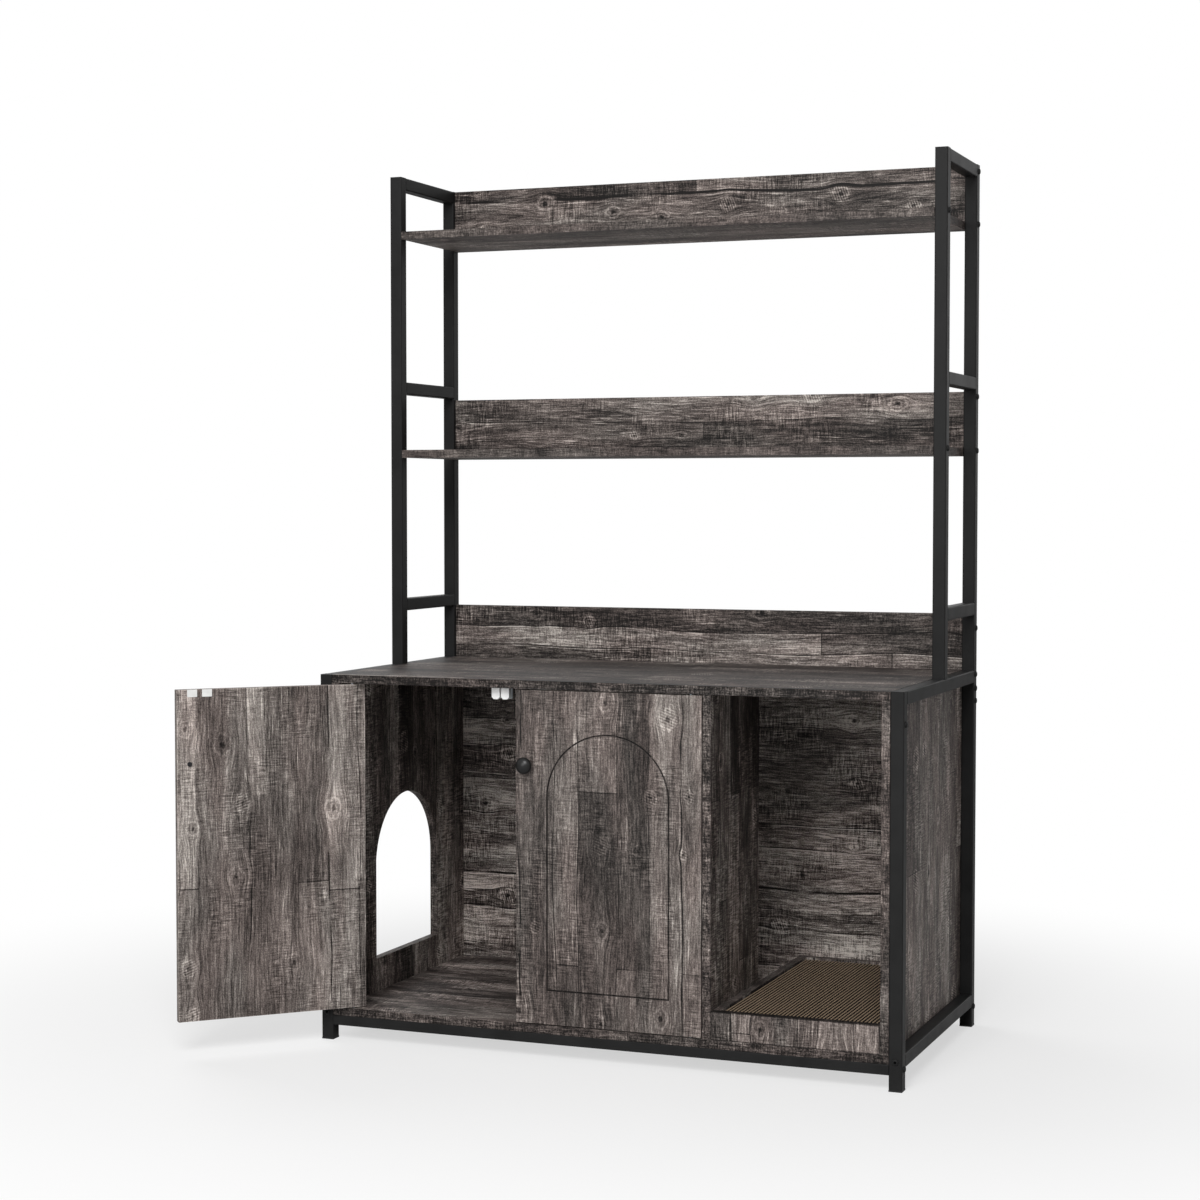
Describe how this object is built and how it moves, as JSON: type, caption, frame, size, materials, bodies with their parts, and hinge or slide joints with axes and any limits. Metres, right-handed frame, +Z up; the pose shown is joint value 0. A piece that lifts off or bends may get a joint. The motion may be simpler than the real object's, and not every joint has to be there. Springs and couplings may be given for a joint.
{
  "type": "cat litter box cabinet",
  "caption": "Two-door litter box cabinet on a steel tube frame with an arched cat entrance, an open scratch-pad niche and an open shelf hutch above.",
  "frame": {"origin": "on the floor, under the middle of the box that holds the whole cabinet with its left door open as in the picture", "axes": "+X to the cabinet's right as seen from the front, +Y from the front to the back, +Z up"},
  "size_m": [1.362, 0.8322, 1.717],
  "materials": {
    "frame_steel": "satin black powder coat",
    "sleeve_steel": "zinc-plated tube",
    "foot_plastic": "black moulded polyethylene",
    "rustic_board": "charcoal rustic wood-print laminate, matt",
    "cardboard": "raw corrugated cardboard on edge",
    "knob_metal": "gloss black",
    "zinc_steel": "zinc plated",
    "bush_plastic": "black nylon",
    "striker_plate": "white enamelled plate",
    "catch_plastic": "white moulded plastic"
  },
  "bodies": {
    "root": {"left_front_leg": "frame_steel", "left_front_foot": "foot_plastic", "left_front_upright": "frame_steel", "left_rear_leg": "frame_steel", "left_rear_foot": "foot_plastic", "left_rear_upright": "frame_steel", "left_top_rail": "frame_steel", "left_bottom_rail": "frame_steel", "left_hutch_rail": "frame_steel", "left_upper_rung": "frame_steel", "left_lower_rung": "frame_steel", "left_sleeve": "sleeve_steel", "left_pivot_bushes": "bush_plastic", "left_catches": "catch_plastic", "left_side_panel": "rustic_board", "right_front_leg": "frame_steel", "right_front_foot": "foot_plastic", "right_front_upright": "frame_steel", "right_rear_leg": "frame_steel", "right_rear_foot": "foot_plastic", "right_rear_upright": "frame_steel", "right_top_rail": "frame_steel", "right_bottom_rail": "frame_steel", "right_hutch_rail": "frame_steel", "right_upper_rung": "frame_steel", "right_lower_rung": "frame_steel", "right_sleeve": "sleeve_steel", "right_pivot_bushes": "bush_plastic", "right_catches": "catch_plastic", "right_side_panel": "rustic_board", "front_cross_rail": "frame_steel", "rear_cross_rail": "frame_steel", "bottom_board": "rustic_board", "tabletop": "rustic_board", "middle_shelf": "rustic_board", "top_shelf": "rustic_board", "lower_backboard": "rustic_board", "middle_backboard": "rustic_board", "upper_backboard": "rustic_board", "back_panel": "rustic_board", "partition": "rustic_board", "tray_apron": "rustic_board", "tray_side_board": "rustic_board", "tray_rear_board": "rustic_board"},
    "left_door": {"left_door": "rustic_board", "left_knob": "knob_metal", "left_knob_screw": "zinc_steel", "left_door_pins": "zinc_steel", "left_strikers": "striker_plate"},
    "right_door": {"right_door": "rustic_board", "right_knob": "knob_metal", "right_knob_screw": "zinc_steel", "right_door_pins": "zinc_steel", "right_strikers": "striker_plate"},
    "scratch_pad": {"scratch_pad": "cardboard"}
  },
  "joints": [
    {"name": "left_door_hinge", "type": "hinge", "parent": "root", "child": "left_door", "pos_m": [-0.41704, -0.1649, 0], "axis": [0, 0, 1], "range_deg": [-3, 135]},
    {"name": "right_door_hinge", "type": "hinge", "parent": "root", "child": "right_door", "pos_m": [0.27946, -0.1649, 0], "axis": [0, 0, 1], "range_deg": [0, 138]},
    {"name": "scratch_pad_lift", "type": "slide", "parent": "root", "child": "scratch_pad", "axis": [0, 0, 1], "range_m": [0, 0.12]}
  ]
}
